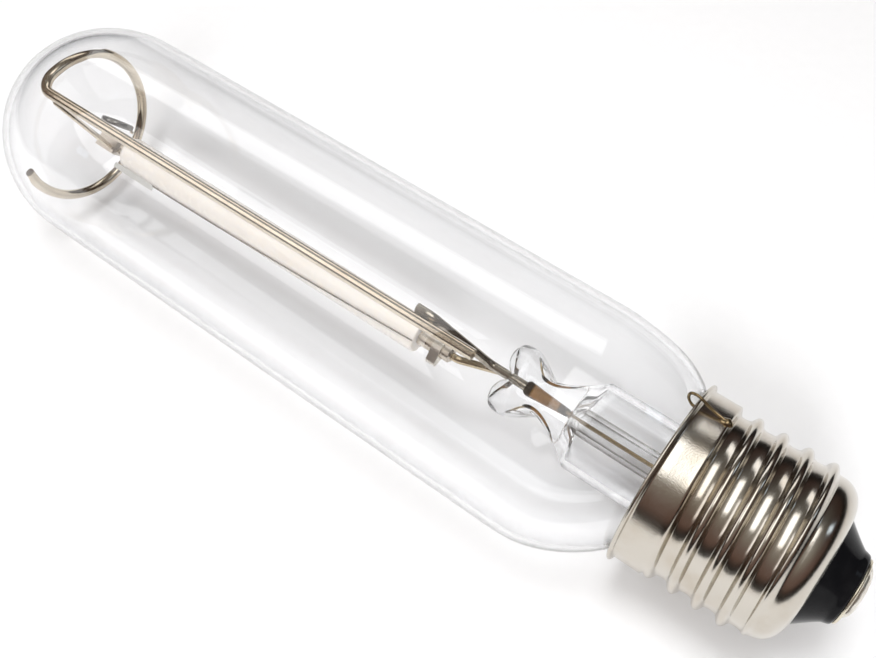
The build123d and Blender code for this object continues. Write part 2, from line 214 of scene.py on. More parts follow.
# Insulator, contact and solder
insulator_back = 19.5
insulator_bore = 1.1
insulator_inner_radius = 11.75
insulator_inner_corner = 20.3
insulator_seat = 23.36
insulator_waist = 26.95
insulator_waist_radius = 5.5
insulator_hollow = 1.08      # above 1 the side is hollow
insulator_lip = [(27.05, 5.46), (27.4, 5.36), (27.7, 5.26), (27.88, 5.16), (27.97, 5.02), (28.0, 4.86)]
insulator_front = 28.0
contact_front = 28.02
contact_thickness = 0.5
contact_radius = 4.85
contact_back_edge = [(0, 0.15), (0.12, 0)]
contact_front_edge = [(0.2, 0.02), (0.06, 0.14), (0, 0.35)]
solder_front = 28.54
solder_radius = 4.0
solder_height = 1.1
solder_curve = 0.7
solder_shrink = 0.07
solder_waves = [(0.05, 3, 0.6), (0.035, 5, 2.1), (0.02, 11, 0.0)]   # height, number and phase
dimple_depth = 0.03
dimple_across = (1.7, 0.4)   # turn for each millimetre and phase
dimple_up = (1.9, 1.0)
blob_front = [(-1.1, 0), (-1.0, 0.3), (-0.7, 0.55), (-0.2, 0.75)]
blob_end = [(0.3, 0.8), (0.75, 0.6), (1.0, 0.3), (1.08, 0)]
blob_back = 0.2
blob_width = 0.9
blob_height = 0.75
blob_wave = 0.15
blob_round = 26.0            # the blob's foot falls away with the round of the skirt


def shares(count, first=0):
    """Even shares of a whole, up to 1."""
    return [step / count for step in range(first, count + 1)]


def smooth_step(share):
    """Share from 0 to 1 that starts and ends gently."""
    share = min(1.0, max(0.0, share))
    return share * share * (3 - 2 * share)


def close_mesh():
    """Merge the doubles of the piece in edit mode and turn its faces outwards."""
    bpy.ops.mesh.select_all(action="SELECT")
    bpy.ops.mesh.remove_doubles(threshold=merge_gap * MM)
    bpy.ops.mesh.normals_make_consistent(inside=False)
    bpy.ops.object.mode_set(mode="OBJECT")


def spun_piece(name, outline, side=0.0, segments=96):
    """Piece spun about the line along X at the given Y, from (x, radius) points."""
    bpy.ops.object.select_all(action="DESELECT")
    bpy.ops.mesh.primitive_plane_add(size=MM)
    piece = bpy.context.object
    piece.name = name
    bpy.ops.object.mode_set(mode="EDIT")
    bpy.ops.mesh.select_all(action="SELECT")
    bpy.ops.mesh.merge(type="CENTER")
    x, radius = outline[0]
    bpy.ops.transform.translate(value=(x * MM, side * MM, radius * MM))
    for here, there in zip(outline, outline[1:]):
        step = ((there[0] - here[0]) * MM, 0, (there[1] - here[1]) * MM)
        bpy.ops.mesh.extrude_vertices_move(TRANSFORM_OT_translate={"value": step})
    bpy.ops.mesh.select_all(action="SELECT")
    bpy.ops.mesh.spin(steps=segments, angle=2 * math.pi, center=(0, side * MM, 0), axis=(1, 0, 0))
    close_mesh()
    bpy.ops.object.shade_smooth()
    return piece


def wire_piece(name, points, radius):
    """Round wire with a smooth line that bends near the given points."""
    bpy.ops.object.select_all(action="DESELECT")
    bpy.ops.curve.primitive_nurbs_path_add()
    piece = bpy.context.object
    piece.name = name
    piece.data.splines.clear()
    spline = piece.data.splines.new("NURBS")
    spline.points.add(len(points) - 1)
    for point, place in zip(spline.points, points):
        point.co = (place[0] * MM, place[1] * MM, place[2] * MM, 1)
    spline.order_u = 3
    spline.use_endpoint_u = True
    spline.resolution_u = 6
    piece.data.bevel_depth = radius * MM
    piece.data.bevel_resolution = 5
    piece.data.use_fill_caps = True
    bpy.ops.object.convert(target="MESH")
    piece = bpy.context.object
    bpy.ops.object.mode_set(mode="EDIT")
    close_mesh()
    bpy.ops.object.shade_smooth_by_angle(angle=math.radians(sharp_angle))
    return piece


def bulb_outline(inset):
    """The bulb from the top of its dome to the end of its neck, moved in by inset."""
    radius = bulb_radius - inset
    reach = dome_radius - inset
    centre = dome_radius - bulb_length
    points = []
    for share in shares(24):
        turn = math.radians(90 * share)
        points.append((centre - reach * math.cos(turn), radius * math.sin(turn)))
    points += [(x, radius) for x in bulb_rows]
    drop = bulb_radius - neck_radius
    turn_end = math.radians(shoulder_turn)
    for share in shares(24):
        turn = turn_end * share
        along = math.sin(turn) / math.sin(turn_end)
        fall = drop * (1 - math.cos(turn)) / (1 - math.cos(turn_end))
        points.append((along * (shoulder_start + shoulder_end) - shoulder_start, radius - fall))
    points.append((neck_depth, neck_radius - inset))
    return points


def make_outer_bulb():
    """Clear bulb with an even wall, whose neck is drawn a little to the side."""
    outline = bulb_outline(0) + bulb_outline(bulb_wall)[::-1]
    piece = spun_piece("clear_outer_bulb", outline, segments=128)
    for vertex in piece.data.vertices:
        along = (vertex.co.x / MM + shoulder_start) / (shoulder_start + shoulder_end)
        vertex.co.y += neck_shift * MM * smooth_step((along - shift_start) / (1 - shift_start))
    return piece


def squeezed(angle, half, side, squareness):
    """Point of a squeezed round section at an angle from Y to Z."""
    power = 2 / squareness
    across = math.copysign(abs(math.cos(angle)) ** power, math.cos(angle))
    up = math.copysign(abs(math.sin(angle)) ** power, math.sin(angle))
    return half * across, side * up


def press_section(x):
    """Half thickness, half width and squareness of the stem's outside at x."""
    share = min(1.0, max(0.0, (-stem_front - x) / (press_back - stem_front)))
    lobe = smooth_step((-press_back - x) / (lobe_front - press_back))
    half = press_half + (stem_radius - press_half) * (1 - share) ** press_curve
    half += (lobe_spread + lobe_radius - press_half) * lobe
    side = stem_radius + (press_side - stem_radius) * share
    side += (lobe_side - press_side) * lobe
    squareness = round_section + (press_squareness - round_section) * share
    squareness += (lobe_squareness - press_squareness) * lobe
    return half, side, squareness


def lobe_reach(across, up):
    """How far the two lobes stand out at the front of the press."""
    swell = lobe_radius**2 - (abs(across) - lobe_spread) ** 2
    edge = max(0.0, 1 - abs(up / lobe_side) ** lobe_edge_curve)
    return math.sqrt(max(0.0, swell) * edge)


def make_stem():
    """Flared tube, squeezed flat at its front, with two round lobes on the press."""
    bore = stem_radius - stem_wall
    flare_width = neck_radius - bulb_wall - stem_radius
    flare = [(share, flare_width * share**flare_curve) for share in shares(8)]
    outline = [(-lobe_front, stem_radius * share) for share in shares(24)[:-1]]
    outline += [(-lobe_front + (lobe_front - stem_front) * share, stem_radius) for share in shares(40)]
    outline += [(x, stem_radius) for x in stem_rows]
    for share, swell in flare:
        outline.append((flare_start + share * (brim_front - flare_start), stem_radius + swell))
    outline += [(brim_front, neck_radius), (brim_back, neck_radius)]
    for share, swell in flare[::-1]:
        outline.append((flare_start + share * (brim_back - flare_start), bore + swell))
    outline += [(x, bore) for x in inner_rows]
    outline += [(-inner_back - (inner_front - inner_back) * share, bore) for share in shares(20)]
    outline += [(-inner_front, bore * share) for share in shares(8)[-2::-1]]
    piece = spun_piece("pressed_glass_stem", outline, side=neck_shift, segments=112)
    for vertex in piece.data.vertices:
        x = vertex.co.x / MM
        across = vertex.co.y / MM - neck_shift
        up = vertex.co.z / MM
        radius = math.hypot(across, up)
        angle = math.atan2(up, across)
        if x < -stem_front and radius > bore + near or x < -inner_front - near:
            half, side, squareness = press_section(x)
            across, up = squeezed(angle, half, side, squareness)
            across *= radius / stem_radius
            up *= radius / stem_radius
            if x < -lobe_front + near:
                x -= lobe_reach(across, up)
        elif x < -inner_back + near and radius < bore + near:
            # The inside of the tube keeps the wall's thickness and ends in a shallow round floor
            half = min(bore, press_section(x)[0] - stem_wall)
            across, up = squeezed(angle, half, bore, round_section)
            across *= radius / bore
            up *= radius / bore
            if x < -inner_front + near:
                x -= inner_cap * (1 - (radius / bore) ** 2)
        vertex.co = Vector((x, across + neck_shift, up)) * MM
    return piece


def make_exhaust():
    """Glass pipe inside the stem, drawn in and closed at the cap's end."""
    taper_start = exhaust_end - exhaust_taper
    outline = [
        (-exhaust_front, exhaust_bore),
        (-exhaust_front, exhaust_radius),
        (0, exhaust_radius),
        (taper_start, exhaust_radius),
        (exhaust_end - exhaust_tip, exhaust_tip_radius),
        (exhaust_end, 0),
        (exhaust_end - exhaust_tip_wall, 0),
        (taper_start, exhaust_bore),
        (0, exhaust_bore),
        (-exhaust_front, exhaust_bore),
    ]
    return spun_piece("exhaust_glass_tube", outline, side=neck_shift, segments=48)


def loop_point(angle, out=0.0):
    """Point of the loop at an angle from Y to Z, moved out along the loop's tangent."""
    lean_side = math.tan(math.radians(loop_lean_side))
    lean_front = math.tan(math.radians(loop_lean_front))
    across_way = Vector((-lean_side, 1, 0)).normalized()
    along_way = Vector((1, lean_side, lean_front)).normalized()
    up_way = along_way.cross(across_way)
    turn = math.radians(angle)
    across = loop_radius * math.cos(turn) - out * math.sin(turn)
    up = loop_radius * math.sin(turn) + out * math.cos(turn)
    return loop_middle + across * across_way + up * up_way


def wire_centre(x):
    """Middle of the frame wire's straight stretch at x."""
    corner = loop_point(loop_start, loop_bend) + corner_shift
    return wire_start.lerp(corner, (x - wire_start.x) / (corner.x - wire_start.x))


def make_frame_wire():
    """Straight wire beside the arc tube, a tight corner and the open loop in the dome."""
    corner_x = loop_point(loop_start, loop_bend).x + corner_shift.x
    points = [wire_start, wire_centre(wire_middle)]
    points += [wire_centre(corner_x + corner_ease), wire_centre(corner_x + corner_tip)]
    for share in shares(30):
        points.append(loop_point(loop_start - loop_lead - (loop_sweep - loop_lead) * share))
    return wire_piece("frame_wire_with_loop", points, wire_radius)


def inner_lead_points(sign, end, ease):
    """Route of an inner lead from its pin, straight out of the press and then over to its end."""
    foot = Vector((lead_bend, neck_shift, sign * lead_spread))
    return [
        Vector((-pin_front, neck_shift, sign * lead_spread)),
        foot + Vector((lead_bend_ease, 0, 0)),
        foot,
        foot.lerp(end, ease),
        foot.lerp(end, lead_end_ease),
        end,
    ]


def make_frame_lead():
    """Lead that ends beside the frame wire and is welded along it."""
    beside = Vector((0, wire_radius + frame_lead_radius, 0))
    points = inner_lead_points(1, wire_centre(frame_weld_back) + beside, frame_lead_ease)
    points.append(wire_centre(frame_weld_front) + beside)
    return wire_piece("frame_lead_wire", points, frame_lead_radius)


def make_short_lead():
    """Lead that turns into the near niobium tube."""
    mouth = Vector((short_mouth, arc_side, 0))
    points = inner_lead_points(-1, mouth, short_lead_ease)
    points.append(mouth - Vector((short_mouth_ease, 0, 0)))
    points.append(Vector((short_lead_end, arc_side, 0)))
    return wire_piece("short_lead_wire", points, short_lead_radius)


def make_pin(name, sign):
    """Seal pin with the small weld bead that joins it to its lead."""
    outline = [(-pin_front + x, radius) for x, radius in pin_bead]
    outline.append((-pin_front + pin_bead_length, pin_front_radius))
    outline.append((-pin_back - pin_tip, pin_back_radius))
    outline += [(-pin_back, pin_tip_radius), (-pin_back, 0)]
    piece = spun_piece(name, outline, segments=32)
    for vertex in piece.data.vertices:
        vertex.co.y += neck_shift * MM
        vertex.co.z += sign * lead_spread * MM
    return piece


def cap_point(x, radius):
    """Point at a radius from the cap's axis, on the side where the side lead runs."""
    turn = math.radians(side_lead_angle)
    return Vector((x, neck_shift + radius * math.cos(turn), radius * math.sin(turn)))


def make_side_lead():
    """Lead that leaves the stem, runs back inside the shell and loops over its rim."""
    inside = skirt_radius - sheet - side_lead_radius - touch
    outside = skirt_radius + side_lead_radius
    points = [
        Vector((-pin_back, neck_shift, lead_spread)),
        Vector((-6.0, neck_shift, lead_spread)),
        Vector((8.6, neck_shift, lead_spread)),
        Vector((9.0, neck_shift + 0.5, lead_spread + 0.5)),
        cap_point(9.3, 11.0),
        cap_point(9.0, side_lead_channel),
        cap_point(skirt_length, side_lead_channel),
        cap_point(skirt_length - 1.6, inside),
        cap_point(0.5, inside),
        cap_point(-1.0, inside + 0.35),
        cap_point(-1.4, rim_radius + 0.5),
        cap_point(-0.1, rim_radius + 0.75),
        cap_point(1.4, rim_radius + 0.15),
        cap_point(3.4, outside + 0.1),
        cap_point(skirt_length, outside),
    ]
    return wire_piece("side_lead_wire", points, side_lead_radius)


def make_centre_lead():
    """Lead that passes the exhaust tube and turns to the middle of the cap."""
    points = [
        Vector((-pin_back, neck_shift, -lead_spread)),
        Vector((0, neck_shift, -lead_spread)),
        Vector((exhaust_end - 1, neck_shift, -lead_spread)),
        Vector((exhaust_end + 1, neck_shift, -lead_spread)),
        Vector((exhaust_end + 5, neck_shift, 0)),
        Vector((exhaust_end + 8, neck_shift, 0)),
        Vector((contact_front + contact_thickness, neck_shift, 0)),
    ]
    return wire_piece("centre_lead_wire", points, centre_lead_radius)


def make_arc_tube():
    """Ceramic tube with rounded ends and a plug in each, bored for the niobium tubes."""
    rounding = arc_edge * arc_edge_round
    outline = [
        (-arc_front, feed_bore),
        (-arc_front, arc_radius - arc_edge),
        (-arc_front + rounding, arc_radius - rounding),
        (-arc_front + arc_edge, arc_radius),
    ]
    outline += [(x, arc_radius) for x in arc_rows]
    outline += [
        (-arc_back - arc_edge, arc_radius),
        (-arc_back - rounding, arc_radius - rounding),
        (-arc_back, arc_radius - arc_edge),
        (-arc_back, feed_bore),
        (-arc_back - plug_length, feed_bore),
        (-arc_back - plug_length, arc_bore),
        (arc_bore_row, arc_bore),
        (-arc_front + plug_length, arc_bore),
        (-arc_front + plug_length, feed_bore),
        (-arc_front, feed_bore),
    ]
    piece = spun_piece("ceramic_arc_tube", outline, side=arc_side, segments=64)
    bpy.ops.object.shade_smooth_by_angle(angle=math.radians(arc_sharp_angle))
    return piece


def make_ignition_wire():
    """Thin wire that winds along the arc tube from the strip to the near end."""
    reach = arc_radius + ignition_radius + ignition_gap
    points = []
    for share in shares(24):
        turn = math.radians(ignition_start + (ignition_end - ignition_start) * share)
        x = -ignition_front + (ignition_front - arc_back) * share
        points.append(Vector((x, arc_side + reach * math.cos(turn), reach * math.sin(turn))))
    return wire_piece("winding_ignition_wire", points, ignition_radius)


def make_far_strap():
    """Narrow strip, seen nearly on its edge, from the frame wire to the far niobium tube."""
    bpy.ops.object.select_all(action="DESELECT")
    bpy.ops.mesh.primitive_cube_add(size=MM)
    piece = bpy.context.object
    piece.name = "slanting_far_strap"
    way = strap_foot - strap_top
    piece.scale = (way.length, strap_thickness, strap_width)
    piece.rotation_euler = way.to_track_quat("X", "Z").to_euler()
    piece.location = (strap_top + strap_foot) / 2 * MM
    bpy.ops.object.transform_apply(location=True, rotation=True, scale=True)
    rounding = piece.modifiers.new("rounding", "BEVEL")
    rounding.width = strap_rounding * MM
    rounding.segments = 3
    bpy.ops.object.modifier_apply(modifier=rounding.name)
    bpy.ops.object.shade_smooth_by_angle(angle=math.radians(sharp_angle))
    return piece


def make_getter():
    """Channel ring of the getter, tipped a little towards the front."""
    inner = getter_radius - getter_section / 2
    outer = getter_radius + getter_section / 2
    half = getter_height / 2
    outline = [
        (half - getter_edge, inner),
        (half, inner + getter_edge),
        (half - channel_lip_drop, inner + channel_lip),
        (half - channel_depth, getter_radius),
        (half - channel_lip_drop, outer - channel_lip),
        (half, outer - getter_edge),
        (half - getter_edge, outer),
        (getter_edge - half, outer),
        (-half, outer - getter_edge),
        (-half, inner + getter_edge),
        (getter_edge - half, inner),
        (half - getter_edge, inner),
    ]
    piece = spun_piece("getter_channel", outline, segments=64)
    along = Vector((1, getter_turn, 0)).normalized()
    normal = Vector((-getter_turn, 1, getter_tip))
    normal = (normal - along * normal.dot(along)).normalized()
    across = along.cross(normal)
    for vertex in piece.data.vertices:
        place = along * vertex.co.y + normal * vertex.co.x + across * vertex.co.z
        vertex.co = getter_middle * MM + place
    return piece


def thread_height(pitches):
    """Height of the rolled thread, from 0 to 1: a narrow round bead, then a wide hollow."""
    away = abs((pitches + 0.5) % 1 - 0.5)
    if away < bead_half:
        return 1 - (1 - bead_foot) * (away / bead_half) ** bead_curve
    hollow = (away - bead_half) / (0.5 - bead_half)
    return bead_foot * (1 - hollow) ** 2


def thread_radius(x, angle):
    """Outside radius of the rolled shell at x, at an angle from Y to Z round the cap."""
    crest = thread_height((x - thread_start) / thread_pitch - angle / (2 * math.pi))
    crest *= 1 - smooth_step((x - thread_end) / thread_fade)
    rolled = thread_root + thread_depth * crest
    start = smooth_step((x - skirt_length - thread_gap) / thread_rise)
    return skirt_radius + (rolled - skirt_radius) * start


def make_cap_shell():
    """Sheet shell with a rolled rim, a plain skirt, the thread and a rounded end."""
    corner = shell_end - shell_corner
    inner = shell_end - sheet
    mouth = (rim_mouth, rim_radius - sheet - rim_mouth)
    outline = [mouth]
    outline += [(x, rim_radius - depth) for x, depth in rim_roll]
    outline.append((rim_foot, skirt_radius + rim_foot_flare))
    outline += [(x, skirt_radius) for x in (*skirt_rows, skirt_length)]
    for share in shares(thread_rows, 1):
        outline.append((skirt_length + (corner - skirt_length) * share, thread_root))
    for share in shares(16, 1):
        turn = math.radians(90 * share)
        radius = shell_hole + (thread_root - shell_hole) * math.cos(turn)
        outline.append((corner + shell_corner * math.sin(turn), radius))
    outline += [
        (inner, shell_hole),
        (inner - shell_inner_drop, shell_inner_radius),
        (corner, thread_root - sheet),
        (skirt_length + shell_inner_step, thread_root - sheet),
        (skirt_length, skirt_radius - sheet),
        (skirt_rows[0], skirt_radius - sheet),
        mouth,
    ]
    piece = spun_piece("rolled_cap_shell", outline, side=neck_shift, segments=144)
    for vertex in piece.data.vertices:
        x = vertex.co.x / MM
        across = vertex.co.y / MM - neck_shift
        up = vertex.co.z / MM
        radius = math.hypot(across, up)
        if skirt_length < x < corner + near and radius > thread_root - sheet / 2:
            grow = thread_radius(x, math.atan2(up, across)) / radius
            vertex.co = Vector((x, neck_shift + across * grow, up * grow)) * MM
    return piece


def make_insulator():
    """Black glass that fills the shell's end, narrows to a waist and ends in a rounded lip."""
    hole = shell_hole - touch
    start = (insulator_back, insulator_bore)
    outline = [
        start,
        (insulator_back, insulator_inner_radius),
        (insulator_inner_corner, insulator_inner_radius),
        (insulator_seat, hole),
        (shell_end, hole),
    ]
    for share in shares(12, 1):
        narrowing = (hole - insulator_waist_radius) * (1 - share) ** insulator_hollow
        x = shell_end + (insulator_waist - shell_end) * share
        outline.append((x, insulator_waist_radius + narrowing))
    outline += insulator_lip
    outline += [(insulator_front, insulator_bore), start]
    piece = spun_piece("black_glass_insulator", outline, side=neck_shift, segments=112)
    bpy.ops.object.shade_smooth_by_angle(angle=math.radians(sharp_angle))
    return piece


def make_contact():
    """Contact plate with a rounded edge."""
    back = contact_front
    front = contact_front + contact_thickness
    outline = [(back, 0)]
    outline += [(back + height, contact_radius - inset) for height, inset in contact_back_edge]
    outline += [(front - depth, contact_radius - inset) for depth, inset in contact_front_edge]
    outline.append((front, 0))
    return spun_piece("centre_contact_disc", outline, side=neck_shift, segments=80)


def make_contact_solder():
    """Flat dome of solder with a ragged edge and shallow dimples."""
    outline = [(solder_front - touch, 0), (solder_front - touch, solder_radius)]
    for share in shares(16, 1):
        turn = math.radians(90 * share)
        radius = solder_radius * math.cos(turn) ** solder_curve
        outline.append((solder_front + solder_height * math.sin(turn), radius))
    outline[-1] = (solder_front + solder_height, 0)
    piece = spun_piece("contact_solder_dome", outline, side=neck_shift, segments=80)
    for vertex in piece.data.vertices:
        across = vertex.co.y / MM - neck_shift
        up = vertex.co.z / MM
        angle = math.atan2(up, across)
        share = math.hypot(across, up) / solder_radius
        ragged = sum(size * math.sin(count * angle + phase) for size, count, phase in solder_waves)
        grow = 1 - (solder_shrink - ragged) * share
        height = vertex.co.x / MM - solder_front
        across_wave = math.sin(dimple_across[0] * across + dimple_across[1])
        up_wave = math.cos(dimple_up[0] * up + dimple_up[1])
        dimple = dimple_depth * (across_wave * up_wave - 1)
        x = solder_front + max(-touch, height * (1 + dimple))
        vertex.co = Vector((x, neck_shift + across * grow, up * grow)) * MM
    return piece


def make_side_solder():
    """Small uneven blob that sits on the skirt and holds the end of the side lead."""
    piece = spun_piece("side_solder_blob", blob_front + blob_end, segments=40)
    turn = math.radians(side_lead_angle)
    out = Vector((0, math.cos(turn), math.sin(turn)))
    round_way = Vector((0, -math.sin(turn), math.cos(turn)))
    middle = cap_point(skirt_length - blob_back, skirt_radius - touch)
    for vertex in piece.data.vertices:
        along = vertex.co.x / MM
        across = vertex.co.y / MM
        lift = max(0.0, vertex.co.z / MM)
        lift *= blob_height + blob_wave * math.sin(4 * along + 0.5)
        place = middle + Vector((along, 0, 0))
        place += out * (lift - across * across / blob_round)
        place += round_way * across * blob_width
        vertex.co = place * MM
    return piece


def new_node(tree, kind, inputs=None, **settings):
    """Shader node with its settings, and inputs given as values or as the sockets that feed them."""
    node = tree.nodes.new(kind)
    for name, value in settings.items():
        setattr(node, name, value)
    for name, source in (inputs or {}).items():
        if isinstance(source, bpy.types.NodeSocket):
            tree.links.new(source, node.inputs[name])
        else:
            node.inputs[name].default_value = source
    return node


def mottle(tree, place, scale, detail=2.0, roughness=0.5):
    """Noise over the given coordinates."""
    inputs = {"Vector": place, "Scale": scale, "Detail": detail, "Roughness": roughness}
    return new_node(tree, "ShaderNodeTexNoise", inputs).outputs["Fac"]


def spread(tree, value, low, high, start=0.0, end=1.0):
    """Value that runs from low to high while the given one runs from start to end."""
    inputs = {"Value": value, "From Min": start, "From Max": end, "To Min": low, "To Max": high}
    return new_node(tree, "ShaderNodeMapRange", inputs).outputs["Result"]


def blend(tree, share, first, second, way="MIX"):
    """Mix of two colours."""
    inputs = {"Fac": share, "Color1": first, "Color2": second}
    return new_node(tree, "ShaderNodeMixRGB", inputs, blend_type=way).outputs["Color"]


def combine(tree, first, second, way):
    """Number worked out from two others."""
    return new_node(tree, "ShaderNodeMath", {0: first, 1: second}, operation=way).outputs["Value"]


def colour_ramp(tree, value, stops):
    """Colours by value, from (position, colour) stops in rising order."""
    ramp = new_node(tree, "ShaderNodeValToRGB", {"Fac": value})
    elements = ramp.color_ramp.elements
    for element, (position, colour) in ((elements[0], stops[0]), (elements[1], stops[-1])):
        element.position = position
        element.color = (*colour, 1)
    for position, colour in stops[1:-1]:
        elements.new(position).color = (*colour, 1)
    return ramp.outputs["Color"]


def fine_relief(tree, height, strength, depth):
    """Normal of a fine relief, depth in millimetres."""
    inputs = {"Height": height, "Strength": strength, "Distance": depth * MM}
    return new_node(tree, "ShaderNodeBump", inputs).outputs["Normal"]


def new_group(name, inputs, outputs):
    """Node group with its own sockets, and its input and output nodes."""
    group = bpy.data.node_groups.new(name, "ShaderNodeTree")
    for socket_name, kind, value in inputs:
        socket = group.interface.new_socket(socket_name, in_out="INPUT", socket_type=kind)
        socket.default_value = value
    for socket_name, kind in outputs:
        group.interface.new_socket(socket_name, in_out="OUTPUT", socket_type=kind)
    return group, group.nodes.new("NodeGroupInput").outputs, group.nodes.new("NodeGroupOutput").inputs


def make_patina_group():
    """Colour, roughness and fine height of a surface that has been handled and heated."""
    group, given, result = new_group(
        "handled_metal",
        [
            ("Place", "NodeSocketVector", (0, 0, 0)),
            ("Clean", "NodeSocketColor", (0.7, 0.68, 0.64, 1)),
            ("Stained", "NodeSocketColor", (0.4, 0.36, 0.3, 1)),
            ("Patch size", "NodeSocketFloat", 120.0),
            ("Grain size", "NodeSocketFloat", 3000.0),
            ("Smooth", "NodeSocketFloat", 0.12),
            ("Rough", "NodeSocketFloat", 0.3),
        ],
        [("Colour", "NodeSocketColor"), ("Roughness", "NodeSocketFloat"), ("Height", "NodeSocketFloat")],
    )
    patches = mottle(group, given["Place"], given["Patch size"], detail=5.0, roughness=0.6)
    stain = spread(group, patches, 0.0, 1.0, start=0.45, end=0.75)
    grain = mottle(group, given["Place"], given["Grain size"], detail=3.0)
    rough = spread(group, grain, given["Smooth"], given["Rough"], start=0.3, end=0.7)
    group.links.new(blend(group, stain, given["Clean"], given["Stained"]), result["Colour"])
    group.links.new(rough, result["Roughness"])
    group.links.new(grain, result["Height"])
    return group


def make_streak_group():
    """Long soft streaks along X, as drawn glass has, and fine specks."""
    group, given, result = new_group(
        "drawn_streaks",
        [("Place", "NodeSocketVector", (0, 0, 0)), ("Fineness", "NodeSocketFloat", 160.0)],
        [("Streak", "NodeSocketFloat"), ("Speck", "NodeSocketFloat")],
    )
    stretch = new_node(group, "ShaderNodeMapping", {"Vector": given["Place"], "Scale": (0.06, 1, 1)})
    streak = mottle(group, stretch.outputs["Vector"], given["Fineness"])
    speck = mottle(group, given["Place"], 1400.0, detail=4.0)
    group.links.new(streak, result["Streak"])
    group.links.new(spread(group, speck, 0.0, 1.0, start=0.66, end=0.8), result["Speck"])
    return group


patina_group = make_patina_group()
streak_group = make_streak_group()


def new_material(name):
    """Material with an empty node tree but for its output and the piece's coordinates."""
    material = bpy.data.materials.new(name)
    material.use_nodes = True
    tree = material.node_tree
    tree.nodes.clear()
    output = tree.nodes.new("ShaderNodeOutputMaterial").inputs["Surface"]
    place = tree.nodes.new("ShaderNodeTexCoord").outputs["Object"]
    return material, tree, output, place


def handled(tree, place, clean, stained, smooth, rough, patch, grain):
    """Outputs of the handled_metal group with the given values."""
    inputs = {
        "Place": place,
        "Clean": (*clean, 1),
        "Stained": (*stained, 1),
        "Patch size": patch,
        "Grain size": grain,
        "Smooth": smooth,
        "Rough": rough,
    }
    return new_node(tree, "ShaderNodeGroup", inputs, node_tree=patina_group).outputs


def drawn(tree, place, fineness):
    """Outputs of the drawn_streaks group."""
    inputs = {"Place": place, "Fineness": fineness}
    return new_node(tree, "ShaderNodeGroup", inputs, node_tree=streak_group).outputs


def surface_shader(tree, inputs):
    """Principled shader with the given inputs."""
    return new_node(tree, "ShaderNodeBsdfPrincipled", inputs).outputs["BSDF"]


def metal_material(name, clean, stained, smooth, rough, patch=150.0, grain=2500.0, bump=0.1):
    """Plain metal with stains and a fine grain."""
    material, tree, output, place = new_material(name)
    worn = handled(tree, place, clean, stained, smooth, rough, patch, grain)
    inputs = {
        "Base Color": worn["Colour"],
        "Roughness": worn["Roughness"],
        "Normal": fine_relief(tree, worn["Height"], bump, 0.02),
        "Metallic": 1.0,
    }
    tree.links.new(surface_shader(tree, inputs), output)
    return material


def dull_material(name, pale, deep, smooth, rough, patch, glow=0.0, bump=0.06, shine=0.5):
    """Ceramic, black glass or cement: no metal, mottled, with light spread inside where it glows."""
    material, tree, output, place = new_material(name)
    worn = handled(tree, place, pale, deep, smooth, rough, patch, 1800.0)
    inputs = {
        "Base Color": worn["Colour"],
        "Roughness": worn["Roughness"],
        "Normal": fine_relief(tree, worn["Height"], bump, 0.02),
        "Specular IOR Level": shine,
        "Subsurface Weight": glow,
        "Subsurface Radius": (1.0, 0.9, 0.75),
        "Subsurface Scale": 1.5 * MM,
    }
    tree.links.new(surface_shader(tree, inputs), output)
    return material


def glass_material(name, tint, painted_rim_shade, shade, wave):
    """Clear glass that lets light through to what lies behind it, a little less at its edges, and whose
    colour is painted grey, then dark, towards its edges as painted shade for its rim lines.
    """
    material, tree, output, place = new_material(name)
    streaks = drawn(tree, place, 160.0)
    facing = new_node(tree, "ShaderNodeLayerWeight", {"Blend": 0.5}).outputs["Facing"]
    # The base colour is painted shade: it turns grey, then dark, towards the glass's edges, for the rim
    # lines
    inputs = {
        "Base Color": colour_ramp(tree, facing, [(0.61, tint), (0.8, (0.68, 0.69, 0.71)), (1.0, painted_rim_shade)]),
        "Roughness": spread(tree, streaks["Speck"], 0.0, 0.06),
        "Normal": fine_relief(tree, streaks["Streak"], wave, 0.05),
        "IOR": 1.47,
        "Transmission Weight": 1.0,
    }
    surface = surface_shader(tree, inputs)
    # Light for shadows passes straight through, dimmed at the edges
    dim = colour_ramp(tree, facing, [(0.5, (0.993, 0.993, 0.993)), (1.0, (shade, shade, shade))])
    clear = new_node(tree, "ShaderNodeBsdfTransparent", {"Color": dim}).outputs["BSDF"]
    path = tree.nodes.new("ShaderNodeLightPath").outputs
    lighting = combine(tree, path["Is Shadow Ray"], path["Is Diffuse Ray"], "MAXIMUM")
    mix = new_node(tree, "ShaderNodeMixShader", {"Fac": lighting, 1: surface, 2: clear})
    tree.links.new(mix.outputs["Shader"], output)
    return material


def thin_glass_material(name):
    """Thin glass tube inside other glass: nearly clear where it faces the eye, and painted dark grey at
    its edges as painted shade.
    """
    material, tree, output, place = new_material(name)
    streak = drawn(tree, place, 500.0)["Streak"]
    facing = new_node(tree, "ShaderNodeLayerWeight", {"Blend": 0.5}).outputs["Facing"]
    # Painted shade: the streaked dark colour shows only towards the edges, where the alpha rises, and
    # stands for the tube's dark edge lines
    inputs = {
        "Base Color": blend(tree, streak, (0.03, 0.027, 0.022, 1), (0.3, 0.27, 0.23, 1)),
        "Roughness": 0.05,
        "Alpha": colour_ramp(tree, facing, [(0.45, (0, 0, 0)), (0.85, (0.85, 0.85, 0.85))]),
    }
    tree.links.new(surface_shader(tree, inputs), output)
    return material


